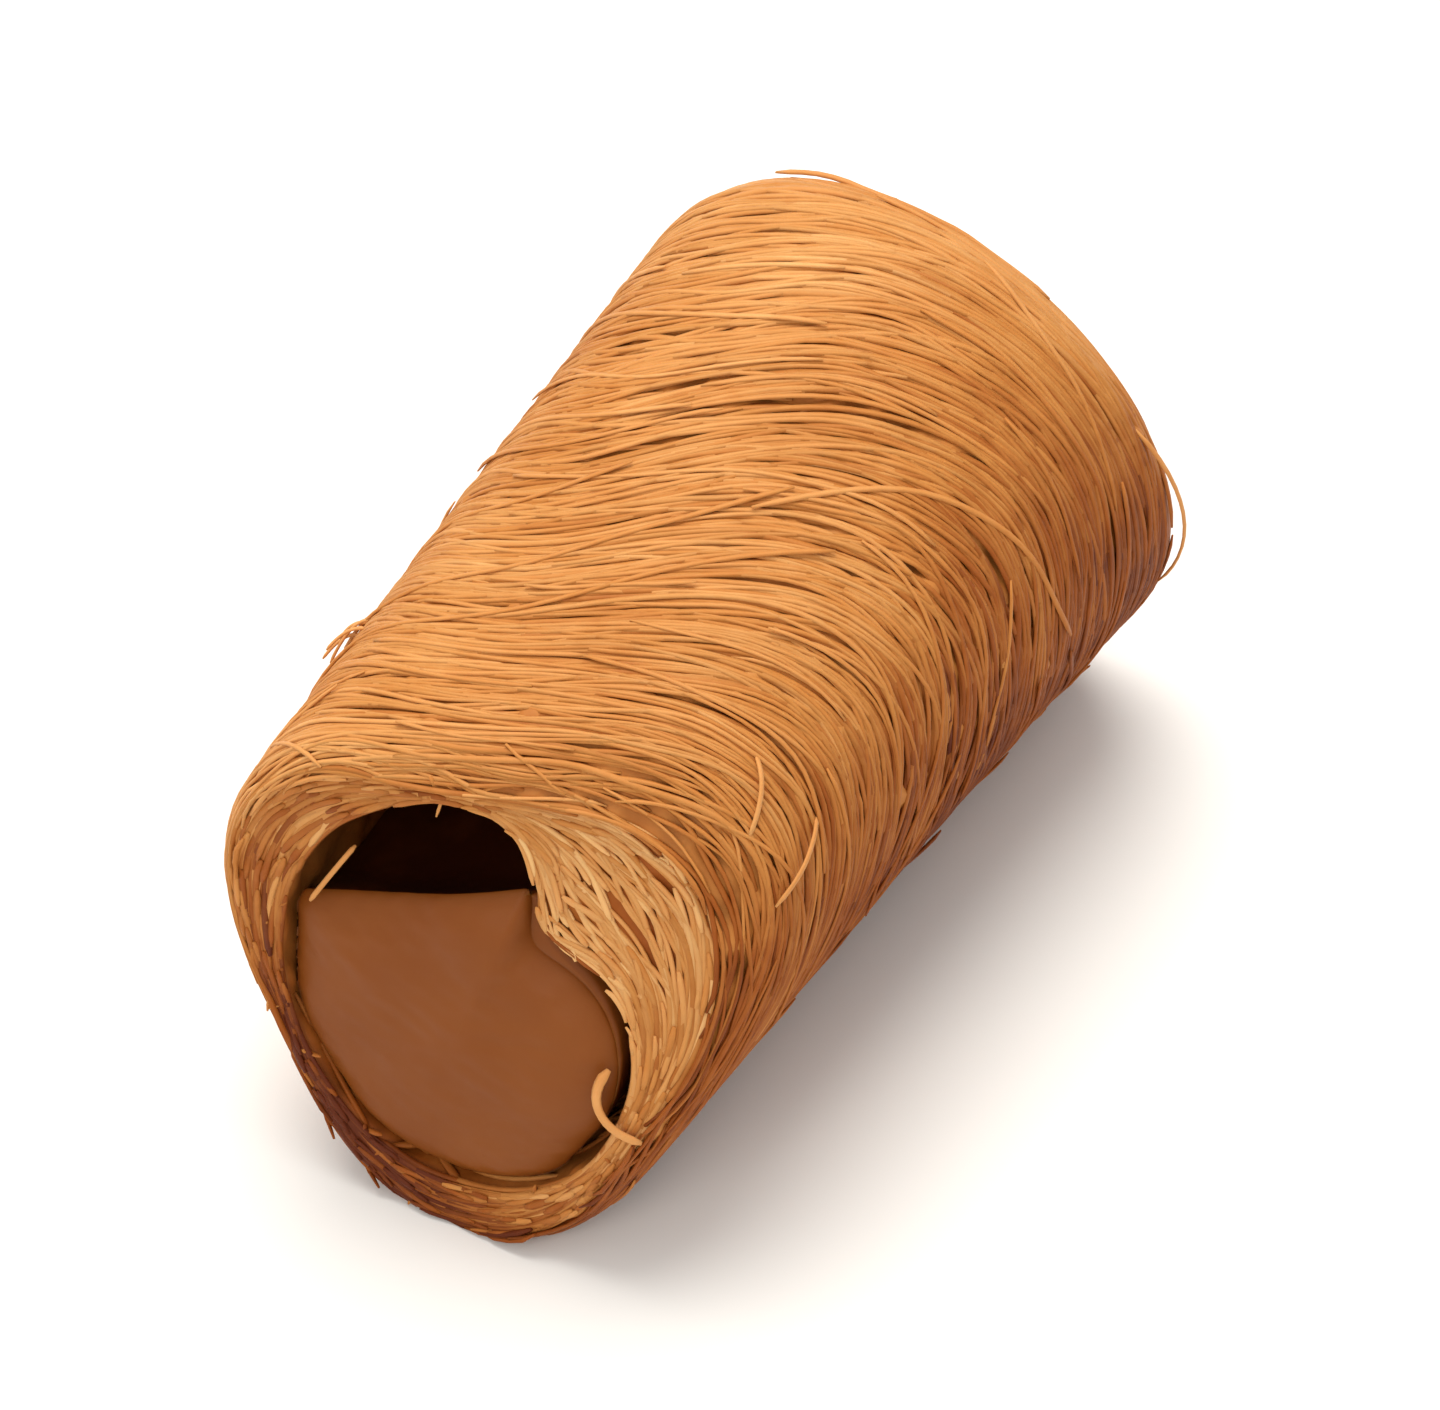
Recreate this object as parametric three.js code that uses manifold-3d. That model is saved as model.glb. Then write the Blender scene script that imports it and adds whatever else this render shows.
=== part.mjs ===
// A kadayif finger: a short roll of shredded pastry threads wound round a caramel cream filling.
// It was cut from a longer roll, so the filling shows at both ends, below a hollow that runs through.
// Units are millimetres. The roll's axis lies along Y, the cut end that shows faces -Y, and +Z is up.
// The origin is the middle of the underside, on the surface that the finger rests on.
import * as THREE from "three";
import { mergeVertices } from "three/addons/utils/BufferGeometryUtils.js";
import Module from "manifold-3d";

const { degToRad, lerp, smoothstep } = THREE.MathUtils;
const FULL_TURN = 2 * Math.PI;
const GOLDEN_SHARE = 0.618;

// The roll, which narrows towards the front and is squeezed to three soft corners there
const FRONT_RADIUS = 15.2;
const BACK_RADIUS = 16.9;
const MEAN_RADIUS = (FRONT_RADIUS + BACK_RADIUS) / 2;
const ROLL_LENGTH = 49;
const FRONT_CORNERS = 1.4;
const OUT_OF_ROUND = 0.22;

// The front cut leans back, and its lip has opened further back on one side of the top
const FRONT_CUT_TILT = degToRad(13);
const LIP_OPENED_BACK = 5.2;
const LIP_OPENED_AT = degToRad(48);

// The underside: a flat where the roll's weight presses the threads, and the turns from straight
// below up to which its flanks are smooth and from which they are fully rough
const RESTING_FLAT_DEPTH = 0.9;
const SMOOTH_TO = degToRad(25);
const ROUGH_FROM = degToRad(50);

// The windings: rows of threads that lean as they pass over the top
const WINDING_ROWS = 72;
const SEGMENTS_AROUND = 36;
const WINDING_LEAN = 3;
const THREAD_RELIEF = 0.55;
const THREAD_GROOVE = 0.2;
const STREAKS_AROUND = 11;
const LIP_ROUNDING = 0.5;
const RAGGED_EDGE = 0.5;
const RAGGED_ROWS = 3;

// The bore through the roll, seen from the cut end, with its centre off the roll's axis
const BORE_CENTRE_X = -1.3;
const BORE_CENTRE_Z = -0.5;
const BORE_HALF_WIDTH = 10.8;
const BORE_HALF_HEIGHT = 12;
const BORE_ROWS = 8;
const BORE_RELIEF = 0.35;

// The cut faces: rings of layered threads between the bore and the outside
const FACE_RINGS = 4;
const FACE_RELIEF = 0.6;

// The cream filling, which leaves the upper part of the bore empty and a groove beside it
const FILLING_GAP = 0.35;
const GROOVE_WIDTH = 1.5;
const GROOVE_AT = degToRad(75);
const FILLING_TOP_Z = 5.5;
const FILLING_TOP_SLOPE = 0.36;
const FILLING_TOP_SOFTNESS = 1.4;
const FILLING_TOP_WAVE = 0.1;
const FILLING_SAG = 3;
const FILLING_SAG_REACH = 7;
const FILLING_SEGMENTS = 40;
const FILLING_ROWS = 14;
const FILLING_RINGS = 5;
const FILLING_OPENED_BACK = 2;
const FILLING_RECESS = 0.5;
const FILLING_DOME = 0.8;

// Single strands that stand proud of the windings, and on the cut faces
const STRAND_SIDES = 5;
const STRAND_DIAMETER = 0.95;
const STRAND_STEPS = 7;
const STRAND_POINTS = 6;
const OUTER_STRANDS = 13;
const OUTER_STRAND_LENGTH = [16, 30];
const OUTER_STRAND_PITCH = [0.12, 0.6];
const LEANING_BACK_SHARE = 0.7;
const STRAND_WANDER = 0.7;
const STRANDS_REACH = degToRad(140);
const STRAND_LIFT = 0.05;
const STRAND_END_DIP = 0.5;
const FACE_STRANDS = 4;
const FACE_STRAND_TURN = [0.09, 0.17];
const FACE_STRAND_DEPTH = [0.25, 0.75];

const SEED = 31;

// A repeatable stream of numbers from 0 to 1.
function randomStream(seed) {
  let state = seed;
  return () => {
    state = (state + 0x6d2b79f5) | 0;
    let mixed = Math.imul(state ^ (state >>> 15), 1 | state);
    mixed = (mixed + Math.imul(mixed ^ (mixed >>> 7), 61 | mixed)) ^ mixed;
    return ((mixed ^ (mixed >>> 14)) >>> 0) / 2 ** 32;
  };
}

const random = randomStream(SEED);
const between = ([low, high]) => lerp(low, high, random());

// Values from 0 to 1 drawn at even places round the roll, eased from one to the next.
function streak(places) {
  const drawn = Array.from({ length: places }, random);
  return (turn) => {
    const at = (turn / FULL_TURN) * places;
    const first = Math.floor(at);
    const ease = 0.5 - 0.5 * Math.cos(Math.PI * (at - first));
    return lerp(drawn[first % places], drawn[(first + 1) % places], ease);
  };
}

const windingStreaks = Array.from({ length: WINDING_ROWS + 1 }, () => streak(STREAKS_AROUND));
const boreStreaks = Array.from({ length: BORE_ROWS + 1 }, () => streak(STREAKS_AROUND));
const ringStreaks = Array.from({ length: 2 * (FACE_RINGS + 1) }, () => streak(2 * STREAKS_AROUND));
const edgeStreaks = { front: streak(SEGMENTS_AROUND), back: streak(SEGMENTS_AROUND) };

// Turns are measured from the top of the roll towards +X. A patch is 1 at its middle, and eases to 0 a
// quarter of a turn away.
const patch = (turn, middle) => Math.max(0, Math.cos(turn - middle)) ** 2;

// The front cut leans, so its roof stands back from its foot. The back cut is square.
function frontCutY(x, z, openedBack) {
  const opened = patch(Math.atan2(x, z), LIP_OPENED_AT) * (Math.hypot(x, z) / MEAN_RADIUS);
  return -ROLL_LENGTH / 2 + z * Math.tan(FRONT_CUT_TILT) + openedBack * opened;
}

const backCutY = () => ROLL_LENGTH / 2;
const betweenCutsY = (x, z, along) => lerp(frontCutY(x, z, LIP_OPENED_BACK), backCutY(), along);

// The roll's axis moves aside and up towards the wide back, so that one side and the underside are
// straight.
const axisX = (along) => lerp(FRONT_RADIUS, BACK_RADIUS, along) - MEAN_RADIUS;
const axisZ = (along) => (BACK_RADIUS - MEAN_RADIUS) * along;

// The roughness is 0 on the underside and 1 elsewhere.
function roughness(turn) {
  const fromBelow = Math.abs(((turn % FULL_TURN) + FULL_TURN) % FULL_TURN - Math.PI);
  return smoothstep(fromBelow, SMOOTH_TO, ROUGH_FROM);
}

// The front's corners are at either side of its top and below, and fade along the roll. All of it is
// out of round, with two soft bulges and three lesser ones that turn along its length.
function rollRadius(turn, along) {
  const corners = -FRONT_CORNERS * Math.cos(3 * turn) * (1 - along);
  const squeeze = Math.sin(2 * (turn + along)) + Math.sin(3 * (turn - along)) / 2;
  const radius = lerp(FRONT_RADIUS, BACK_RADIUS, along);
  return radius + corners + OUT_OF_ROUND * squeeze * roughness(turn);
}

function boreSection(turn, inset) {
  return {
    x: BORE_CENTRE_X + (BORE_HALF_WIDTH - inset) * Math.sin(turn),
    z: BORE_CENTRE_Z + (BORE_HALF_HEIGHT - inset) * Math.cos(turn),
  };
}

// Every second row of windings is a ridge one thread wide, higher in some places than in others.
function windingHeight(row, turn) {
  const fromEnd = Math.min(row, WINDING_ROWS - row);
  const lip = fromEnd === 0 ? LIP_ROUNDING : 0;
  const strength = windingStreaks[row](turn);
  const height = row % 2 ? THREAD_RELIEF * strength : -THREAD_GROOVE * strength;
  return (height - lip) * roughness(turn);
}

// A winding leans most halfway along the roll, and lies along the cut at either end.
function windingY(row, turn, x, z) {
  const along = row / WINDING_ROWS;
  const lean = WINDING_LEAN * Math.sin(turn) * Math.sin(Math.PI * along);
  const fade = (rowsAway) => roughness(turn) * Math.max(0, 1 - rowsAway / RAGGED_ROWS);
  const raggedFront = -RAGGED_EDGE * edgeStreaks.front(turn) * fade(row);
  const raggedBack = RAGGED_EDGE * edgeStreaks.back(turn) * fade(WINDING_ROWS - row);
  return betweenCutsY(x, z, along) + lean + raggedFront + raggedBack;
}

function outerPoint(row, turn) {
  const along = row / WINDING_ROWS;
  const radius = rollRadius(turn, along) + windingHeight(row, turn);
  const x = axisX(along) + radius * Math.sin(turn);
  const z = axisZ(along) + radius * Math.cos(turn);
  return { x, y: windingY(row, turn, x, z), z };
}

function borePoint(row, turn) {
  const { x, z } = boreSection(turn, -BORE_RELIEF * boreStreaks[row](turn));
  return { x, y: betweenCutsY(x, z, row / BORE_ROWS), z };
}

// The cut faces stand out and in by turns where layers of threads were cut.
function facePoint(ring, turn, atFront) {
  const depth = ring / FACE_RINGS;
  const outer = outerPoint(atFront ? 0 : WINDING_ROWS, turn);
  const bore = borePoint(atFront ? 0 : BORE_ROWS, turn);
  const strength = ringStreaks[ring + (atFront ? 0 : FACE_RINGS)](turn);
  const proud = FACE_RELIEF * roughness(turn) * (ring % 2 ? strength : -strength);
  return {
    x: lerp(outer.x, bore.x, depth),
    y: lerp(outer.y, bore.y, depth) + (atFront ? -proud : proud),
    z: lerp(outer.z, bore.z, depth),
  };
}

// Turns a list of stations, each a function of the turn, into one closed surface round the Y axis.
function closedSurface(stations, segments) {
  const profile = stations.map((_, index) => new THREE.Vector2(1, index));
  const geometry = new THREE.LatheGeometry(profile, segments);
  const position = geometry.getAttribute("position");
  for (let index = 0; index < position.count; index += 1) {
    const step = Math.floor(index / stations.length) % segments;
    const { x, y, z } = stations[index % stations.length]((step / segments) * FULL_TURN);
    position.setXYZ(index, x, y, z);
  }
  return geometry;
}

function rollGeometry() {
  const stations = [];
  for (let row = 0; row <= WINDING_ROWS; row += 1) {
    stations.push((turn) => outerPoint(row, turn));
  }
  for (let ring = 1; ring < FACE_RINGS; ring += 1) {
    stations.push((turn) => facePoint(ring, turn, false));
  }
  for (let row = BORE_ROWS; row >= 0; row -= 1) {
    stations.push((turn) => borePoint(row, turn));
  }
  for (let ring = FACE_RINGS - 1; ring > 0; ring -= 1) {
    stations.push((turn) => facePoint(ring, turn, true));
  }
  stations.push(stations[0]);
  return closedSurface(stations, SEGMENTS_AROUND);
}

// The lower of two heights, with a soft corner where they cross.
function softLower(first, second, softness) {
  const near = Math.max(softness - Math.abs(first - second), 0) / softness;
  return Math.min(first, second) - (near * near * softness) / 4;
}

// The filling's outline: the bore's, cut off above by its own top, which slopes to one side and has
// sunk behind the cuts.
function fillingSection(turn, y) {
  const { x, z } = boreSection(turn, FILLING_GAP + GROOVE_WIDTH * patch(turn, GROOVE_AT));
  const sag = FILLING_SAG * smoothstep(ROLL_LENGTH / 2 - Math.abs(y), 0, FILLING_SAG_REACH);
  const level = FILLING_TOP_Z + FILLING_TOP_SLOPE * (x - BORE_CENTRE_X) - sag;
  const wave = FILLING_TOP_WAVE * Math.sin((x + y) / 3);
  return { x, z: softLower(z, level + wave, FILLING_TOP_SOFTNESS) };
}

// A point of the filling's face. The share is 0 at the middle of the face and 1 at its rim.
function fillingFacePoint(share, turn, atFront) {
  const endY = atFront ? -ROLL_LENGTH / 2 : ROLL_LENGTH / 2;
  const rim = fillingSection(turn, endY);
  const x = lerp(BORE_CENTRE_X, rim.x, share);
  const z = lerp((FILLING_TOP_Z + BORE_CENTRE_Z - BORE_HALF_HEIGHT) / 2, rim.z, share);
  const dome = FILLING_DOME * (1 - share ** 2) - FILLING_RECESS;
  return { x, y: atFront ? frontCutY(x, z, FILLING_OPENED_BACK) - dome : backCutY() + dome, z };
}

function fillingSidePoint(row, turn) {
  const y = lerp(-ROLL_LENGTH / 2, ROLL_LENGTH / 2, row / FILLING_ROWS);
  const { x, z } = fillingSection(turn, y);
  const front = frontCutY(x, z, FILLING_OPENED_BACK) + FILLING_RECESS;
  return { x, y: lerp(front, backCutY() - FILLING_RECESS, row / FILLING_ROWS), z };
}

function fillingGeometry() {
  const stations = [];
  for (let ring = 0; ring < FILLING_RINGS; ring += 1) {
    stations.push((turn) => fillingFacePoint(ring / FILLING_RINGS, turn, true));
  }
  for (let row = 0; row <= FILLING_ROWS; row += 1) {
    stations.push((turn) => fillingSidePoint(row, turn));
  }
  for (let ring = FILLING_RINGS - 1; ring >= 0; ring -= 1) {
    stations.push((turn) => fillingFacePoint(ring / FILLING_RINGS, turn, false));
  }
  return closedSurface(stations, FILLING_SEGMENTS);
}

function strandGeometry(points) {
  const section = new THREE.Shape();
  for (let side = 0; side < STRAND_SIDES; side += 1) {
    const turn = (side / STRAND_SIDES) * FULL_TURN;
    const corner = [0.5 * STRAND_DIAMETER * Math.cos(turn), 0.5 * STRAND_DIAMETER * Math.sin(turn)];
    if (side === 0) section.moveTo(...corner);
    else section.lineTo(...corner);
  }
  section.closePath();
  return new THREE.ExtrudeGeometry(section, {
    steps: STRAND_STEPS,
    extrudePath: new THREE.CatmullRomCurve3(points),
    bevelEnabled: false,
  });
}

// A strand that crosses the windings at a slant, with both ends sunk among them.
function outerStrand(index) {
  const length = between(OUTER_STRAND_LENGTH);
  const pitch = between(OUTER_STRAND_PITCH) * (random() < LEANING_BACK_SHARE ? 1 : -1);
  const across = length / Math.hypot(1, pitch);
  const room = ROLL_LENGTH - 2 * STRAND_DIAMETER - Math.abs(across * pitch);
  const middleY = (((index + random()) / OUTER_STRANDS) - 0.5) * room + 0.5 * STRAND_DIAMETER;
  const reach = STRANDS_REACH - (0.5 * across) / MEAN_RADIUS;
  const middleTurn = lerp(-reach, reach, (index * GOLDEN_SHARE) % 1);
  const bow = STRAND_WANDER * (2 * random() - 1);
  const points = [];
  for (let step = 0; step < STRAND_POINTS; step += 1) {
    const share = step / (STRAND_POINTS - 1) - 0.5;
    const turn = middleTurn + (share * across) / MEAN_RADIUS;
    const y = middleY + share * across * pitch + bow * Math.cos(2 * Math.PI * share);
    const along = y / ROLL_LENGTH + 0.5;
    const ends = Math.abs(share) === 0.5 ? STRAND_END_DIP : 0;
    const radius = rollRadius(turn, along) + STRAND_LIFT - ends;
    const x = axisX(along) + radius * Math.sin(turn);
    const z = axisZ(along) + radius * Math.cos(turn);
    points.push(new THREE.Vector3(x, betweenCutsY(x, z, along), z));
  }
  return strandGeometry(points);
}

// A strand that lies in a cut face and follows the bore round.
function faceStrand(index, atFront) {
  const turnLength = between(FACE_STRAND_TURN) * FULL_TURN;
  const start = lerp(-STRANDS_REACH, STRANDS_REACH - turnLength, (index + random()) / FACE_STRANDS);
  const depth = between(FACE_STRAND_DEPTH);
  const points = [];
  for (let step = 0; step < STRAND_POINTS; step += 1) {
    const turn = (start + (step / (STRAND_POINTS - 1)) * turnLength + FULL_TURN) % FULL_TURN;
    const outer = outerPoint(atFront ? 0 : WINDING_ROWS, turn);
    const bore = borePoint(atFront ? 0 : BORE_ROWS, turn);
    const z = lerp(outer.z, bore.z, depth);
    const lift = atFront ? -STRAND_LIFT : STRAND_LIFT;
    points.push(new THREE.Vector3(lerp(outer.x, bore.x, depth), lerp(outer.y, bore.y, depth) + lift, z));
  }
  return strandGeometry(points);
}

const wasm = await Module();
wasm.setup();

function solid(geometry) {
  const bare = geometry.clone();
  bare.deleteAttribute("normal");
  bare.deleteAttribute("uv");
  const merged = mergeVertices(bare, 1e-3);
  const made = new wasm.Manifold(
    new wasm.Mesh({
      numProp: 3,
      vertProperties: merged.getAttribute("position").array,
      triVerts: new Uint32Array(merged.getIndex().array),
    }),
  );
  if (made.volume() < 0) throw new Error("a surface faces inwards");
  return made;
}

function meshOf(name, made, material) {
  const { numVert, numProp, vertProperties, triVerts } = made.getMesh();
  const geometry = new THREE.BufferGeometry();
  const position = new Float32Array(3 * numVert);
  for (let vertex = 0; vertex < numVert; vertex += 1) {
    position.set(vertProperties.subarray(vertex * numProp, vertex * numProp + 3), 3 * vertex);
  }
  geometry.setAttribute("position", new THREE.BufferAttribute(position, 3));
  geometry.setIndex(new THREE.BufferAttribute(triVerts, 1));
  geometry.computeVertexNormals();
  const mesh = new THREE.Mesh(geometry, material);
  mesh.name = name;
  return mesh;
}

// The half space under the flat that the finger rests on.
function belowRestingFlat() {
  const size = 4 * ROLL_LENGTH;
  const block = new THREE.BoxGeometry(size, size, size);
  block.translate(0, 0, RESTING_FLAT_DEPTH - MEAN_RADIUS - size / 2);
  return solid(block);
}

function pastryRoll() {
  let roll = solid(rollGeometry());
  for (let index = 0; index < OUTER_STRANDS; index += 1) {
    roll = roll.add(solid(outerStrand(index)));
  }
  for (const atFront of [true, false]) {
    for (let index = 0; index < FACE_STRANDS; index += 1) {
      roll = roll.add(solid(faceStrand(index, atFront)));
    }
  }
  roll = roll.subtract(belowRestingFlat());
  const material = new THREE.MeshStandardMaterial({ color: 0xc8803c, roughness: 0.55, metalness: 0 });
  return meshOf("pastry_roll", roll, material);
}

function creamFilling() {
  const material = new THREE.MeshStandardMaterial({ color: 0x96602f, roughness: 0.4, metalness: 0 });
  return meshOf("cream_filling", solid(fillingGeometry()), material);
}

const group = new THREE.Group();
group.name = "kadayif_finger";
group.add(pastryRoll(), creamFilling());

const box = new THREE.Box3().setFromObject(group);
group.position.set(-(box.min.x + box.max.x) / 2, -(box.min.y + box.max.y) / 2, -box.min.z);

export default group;
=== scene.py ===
import math

import bpy
import numpy as np
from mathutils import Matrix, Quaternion, Vector


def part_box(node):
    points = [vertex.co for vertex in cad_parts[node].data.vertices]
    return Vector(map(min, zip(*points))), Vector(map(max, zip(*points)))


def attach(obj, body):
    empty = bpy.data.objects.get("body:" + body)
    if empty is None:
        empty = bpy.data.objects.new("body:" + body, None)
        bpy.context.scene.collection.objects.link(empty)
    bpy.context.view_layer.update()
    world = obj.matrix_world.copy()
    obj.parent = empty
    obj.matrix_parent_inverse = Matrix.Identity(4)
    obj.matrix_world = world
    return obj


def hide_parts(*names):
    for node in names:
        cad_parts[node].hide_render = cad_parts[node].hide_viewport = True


# A kadayif finger: shredded pastry threads wound round a caramel cream filling. While pieces are worked
# out, lengths are in millimetres in the finger's own frame: its axis runs close to the line x = 0, z = 0,
# its middle is y = 0, and the cut end that shows faces -Y. Turns are in radians from the top of the roll
# towards +X, and along is the share of the way from the front cut to the back cut. Finished meshes are in
# metres, in the row's frame.
MM = 0.001
FULL_TURN = 2 * math.pi
TINY = 1e-9

# The roll, as in the solids
FRONT_RADIUS = 15.2
BACK_RADIUS = 16.9
MEAN_RADIUS = (FRONT_RADIUS + BACK_RADIUS) / 2
AROUND = FULL_TURN * MEAN_RADIUS
ROLL_LENGTH = 49.0
FRONT_CORNERS = 1.4
OUT_OF_ROUND = 0.22
WINDING_LEAN = 3.0
FRONT_CUT_TILT = math.radians(13)
LIP_OPENED_BACK = 5.2
LIP_OPENED_AT = math.radians(48)
BORE_CENTRE_X = -1.3
BORE_CENTRE_Z = -0.5
BORE_HALF_WIDTH = 10.8
BORE_HALF_HEIGHT = 12.0

# The filling, as in the solids, apart from its upper edge, which is softer, and its front face, which lies
# further back on the side where the lip has opened
FILLING_GAP = 0.35
GROOVE_WIDTH = 1.5
GROOVE_AT = math.radians(75)
FILLING_TOP_Z = 5.5
FILLING_TOP_SLOPE = 0.36
FILLING_TOP_WAVE = 0.1
FILLING_TOP_WAVE_LENGTH = 3
FILLING_TOP_SOFTNESS = 2.0
FILLING_SAG = 3.0
FILLING_SAG_REACH = 7.0
FILLING_OPENED_BACK = 3.2
FILLING_RECESS = 0.5
FILLING_DOME = 0.8

# The filling's rounded rim at the cuts starts at this share of the way out, and falls back by this much
FILLING_EDGE = 1.0
FILLING_EDGE_FROM = 0.74

# The wall swells inwards beside the hollow, just behind the front cut
WALL_SWELL = 5.0
WALL_SWELL_AT = math.radians(48)
WALL_SWELL_REACH = 12.0

# Blankets of threads: the size of a cell, how far they reach past the cuts, and the room round a cut face
CELL = 0.1
OVERRUN = 2
FACE_ROOM = 3

# A thread: the steps along it, its section, the strip it rests on, and how it spans what lies under it
THREAD_STEP = 1.0
FACE_THREAD_STEP = 0.65
THREAD_SIDES = 5
FLATNESS = 0.6
FOOTPRINT = 0.36
STIFFNESS = (0.12, 0.24, 0.28, 0.24, 0.12)
LEVELLING = 0.85
SHORTEST_RUN = 3
DRIFT_WAVES = (34.0, 17.0, 8.5)
OUTWARD_STEP = 0.3

# The ends of a thread: they are thinner, and dip into the others or lift off them
END_TAPER = 0.5
END_DIP = 0.2
END_DIP_POWER = 8
LIFTED_FROM = 0.6

# Windings are rounded over at the lips, pressed flat underneath, and run in waves side by side
LIP_ROUNDING = 1.1
SETTLING = 0.3
COMB_SEED = 4
COMB_COUNTS = (1, 2, 3, 4, 6)
COMB_SLANT = 0.1
COMBED = 1.4
WINDING_DRIFT = 0.35
WINDING_TONE_SPREAD = 0.06
LAYER_SHIFT = 7

# Threads in a cut face keep these margins from its edges, and follow the layers with some slant and drift
OUTER_MARGIN = 0.2
BORE_MARGIN = 0.15
FACE_SLANT = 0.06
FACE_DRIFT = 0.6
SHARE_PER_DRIFT = 0.1
FACE_TONE_SPREAD = 0.12
FACE_LIFT = 0.3

# Threads on the bore's wall lie within this reach of a middle turn, which is once round and a quarter more
LINING_MIDDLE = 8
LINING_REACH = 2
LINING_SLANT = 0.25
LINING_DRIFT = 0.5
LINING_TONE_SPREAD = 0.1
LINING_MARGIN = 0.2

# Short cut ends that stand out of the cut faces
STUB_MARGIN = 0.03
STUB_ROOT = 0.4
STUB_POINTS = 6
STUB_CURL = (0.5, 1.6)
STUB_CURL_POWER = 1.5
STUB_RISE = 0.5
STUB_SIDE_TURN = 1.5
STUB_SIDE_LEAN = 0.1
STUB_TONE_SPREAD = 0.16

# The depth of threads over the core on each surface, and how far they may stand out of the solids
OUTER_DEPTH = 0.35
FACE_DEPTH = 0.3
BORE_DEPTH = 0.3
CEILING = 0.35
CEILING_SOFTNESS = 0.2

# The core's mesh and its lumps
CORE_POINTS_AROUND = 240
CORE_OUTER_RINGS = 90
CORE_BORE_RINGS = 60
CORE_FACE_RINGS = 3
CORE_SEED = 5
CORE_LUMP = 0.18
CORE_LUMP_WAVE = 2.2

# The cream's mesh, and its lumps as (seed, wavelength, height). Lumps push less along the roll.
CREAM_POINTS_AROUND = 260
CREAM_FACE_RINGS = 44
CREAM_INNER_RING = 0.02
CREAM_SIDE_RINGS = 90
CREAM_SIDE_MARGIN = 0.025
CREAM_LUMPS = ((8, 6.0, 0.16), (9, 1.6, 0.03))
CREAM_LUMP_PUSH = (1, 0.25, 1)
LUMP_WAVES = 14
LUMP_WAVE_SPREAD = (0.6, 1.5)

# Tones are places in the pastry's colours
CORE_TONE = 0.5
# The bore's wall is darker than the outside: painted shade inside the hollow
SHADED_LINING_TONE = 0.3
# Painted shade on the flanks of the outside, falling away from the lit side of the top
FLANK_PAINTED_SHADE = 0.5
BEST_LIT_AT = math.radians(-20)
# Painted light on the opened lip of a cut face, and painted shade at its foot
LIP_PAINTED_LIGHT = 0.36
FOOT_PAINTED_SHADE = 0.45
FOOT_SHADE_AT = math.radians(222)

# How much darker the filling is back in the hollow, which is painted shade under the bore's roof with darker
# caramel there too, and between which depths that comes on
FILLING_PAINTED_SHADE = 0.6
SHADE_FROM = 0.8
SHADE_FULL_AT = 3.0

# Single strands that can be told apart. On the front cut their places are (x, z, height), and on the
# outside they are (degrees from the top, millimetres along, height). A smooth curve is drawn towards each.
CURL = ((7.9, -1.8, 0.1), (6.9, -3.2, 0.8), (8.4, -4.6, 1.0), (10.4, -5.2, 0.3))
SLANTED_STRAND = ((-8.1, 6.8, -0.6), (-9.0, 5.4, 0.4), (-10.4, 2.8, 0.1))
LOOSE_STRANDS = (
    ((61, 6.5, 0.0), (63, 4.6, 0.9), (67, 2.2, 0.2)),
    ((44, 5.5, 0.0), (47, 4.0, 0.8), (53, 2.2, 0.1)),
    ((66, 45.5, 0.0), (84, 46.4, 1.3), (98, 47.2, 1.3), (110, 46.6, 0.1)),
)
CURL_WIDTH = 0.65
LOOSE_WIDTH = 0.32
PALE_TONE = 0.7
CURVE_POINTS = 14

# A tuft of short ends on one flank, at (degrees from the top, millimetres along)
TUFT_SEED = 15
TUFT_AT = (-60, 15.2)
TUFT_ENDS = 4
TUFT_DEGREES = 3
TUFT_SPREAD = 1
TUFT_RISE = 0.8
TIP_TURNED = (4, 9)
TIP_FORWARD = (0.5, 2.5)
TIP_HEIGHT = (0.3, 0.9)

# Steps that spread starting places evenly, as shares of the way round and along
EVEN_ROUND = 0.7548776662
EVEN_ALONG = 0.5698402910

# Colours of the pastry and the filling, from dark to pale
PASTRY_COLOURS = (
    (0.0, (0.11, 0.018, 0.002)),
    (0.25, (0.30, 0.075, 0.007)),
    (0.5, (0.50, 0.190, 0.040)),
    (0.75, (0.62, 0.285, 0.088)),
    (1.0, (0.76, 0.43, 0.17)),
)
FILLING_COLOURS = (
    (0.0, (0.03, 0.005, 0.0005)),
    (0.45, (0.19, 0.048, 0.005)),
    (0.75, (0.23, 0.064, 0.008)),
)
FLOOR_COLOUR = (0.82, 0.82, 0.81)
FLOOR_HALF_WIDTH = 3.0
WORLD_COLOUR = (1.0, 0.985, 0.96)
WORLD_STRENGTH = 0.75

# The view, with distances from the finger's middle
VIEW_AZIMUTH = math.radians(33)
VIEW_ELEVATION = math.radians(48)
VIEW_ROLL = math.radians(-5.5)
VIEW_DISTANCE = 0.891
VIEW_LENS = 405
SENSOR_WIDTH = 36
AIM = Vector((0.0, 2.4, -2.9))

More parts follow.
